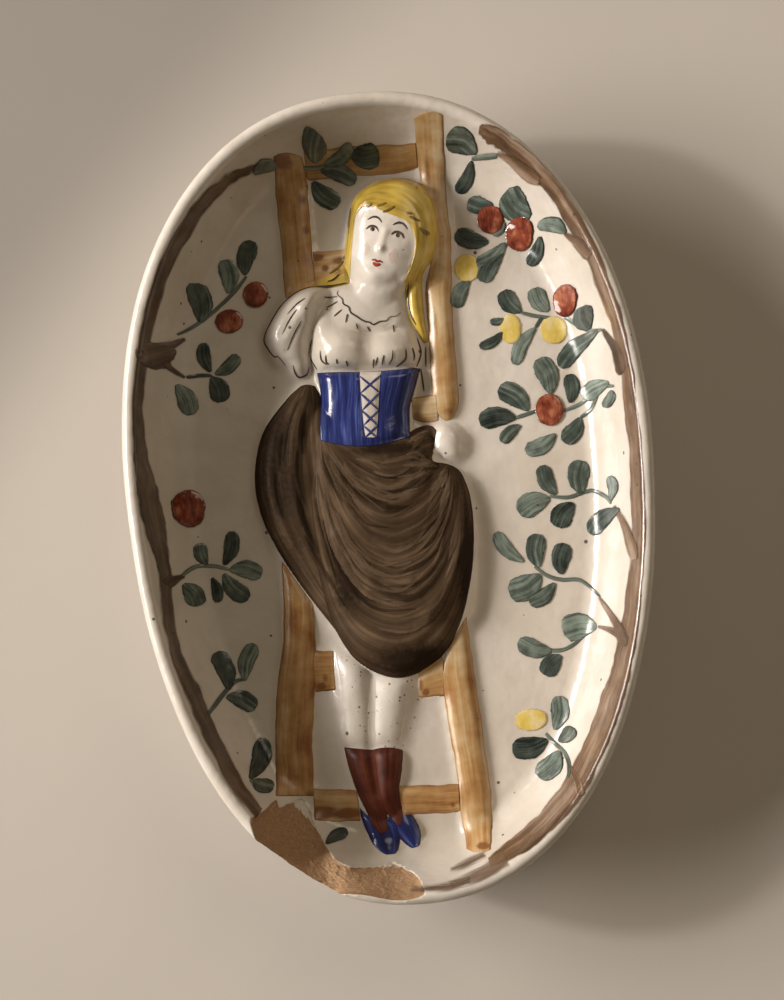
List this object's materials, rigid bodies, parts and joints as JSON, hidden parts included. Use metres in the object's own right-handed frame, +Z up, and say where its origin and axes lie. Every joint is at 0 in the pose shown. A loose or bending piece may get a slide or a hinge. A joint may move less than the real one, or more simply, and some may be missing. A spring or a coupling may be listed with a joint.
{
  "type": "relief mould dish",
  "caption": "Oval tin-glazed earthenware mould dish with a rolled rim, chipped at one end, and a relief of a girl on a ladder between fruiting branches.",
  "frame": {"origin": "centre of the foot ring on the surface that the dish stands on", "axes": "+Z up out of the dish's open face; +Y along the dish toward the head of the figure; +X across it toward the ladder's right rail"},
  "size_m": [0.1946, 0.3, 0.0502],
  "materials": {
    "white_glaze": "glossy warm white tin glaze with fine pinholes",
    "bare_clay": "unglazed buff earthenware",
    "ochre_wood": "ochre brush strokes under the glaze",
    "yellow_hair": "ochre yellow under the glaze, olive in its strands",
    "cobalt_cloth": "cobalt blue brush strokes under the glaze",
    "brown_skirt": "dark manganese brown, streaked along the folds",
    "red_brown_knit": "red-brown under the glaze",
    "brown_bark": "thin manganese brown wash",
    "green_leaf": "grey-green brush strokes with dark edges",
    "red_fruit": "glossy iron red",
    "yellow_fruit": "flat pale yellow wash"
  },
  "bodies": {
    "root": {"dish_body": "white_glaze", "foot_ring": "bare_clay", "left_rail_upper": "ochre_wood", "left_rail_lower": "ochre_wood", "right_rail_upper": "ochre_wood", "right_rail_lower": "ochre_wood", "rung_1": "ochre_wood", "rung_2": "ochre_wood", "rung_3": "ochre_wood", "rung_4": "ochre_wood", "rung_5": "ochre_wood", "head": "white_glaze", "hair_cap": "yellow_hair", "hair_lock_left": "yellow_hair", "hair_lock_right": "yellow_hair", "blouse": "white_glaze", "sleeve_left": "white_glaze", "sleeve_right": "white_glaze", "corset": "cobalt_cloth", "skirt_flap": "brown_skirt", "skirt_front": "brown_skirt", "hand": "white_glaze", "leg_left": "white_glaze", "leg_right": "white_glaze", "stocking_left": "red_brown_knit", "stocking_right": "red_brown_knit", "shoe_left": "cobalt_cloth", "shoe_right": "cobalt_cloth", "branch_left": "brown_bark", "branch_right": "brown_bark", "leaves_left": "green_leaf", "leaves_right": "green_leaf", "fruits_red": "red_fruit", "fruits_yellow": "yellow_fruit"}
  },
  "joints": []
}
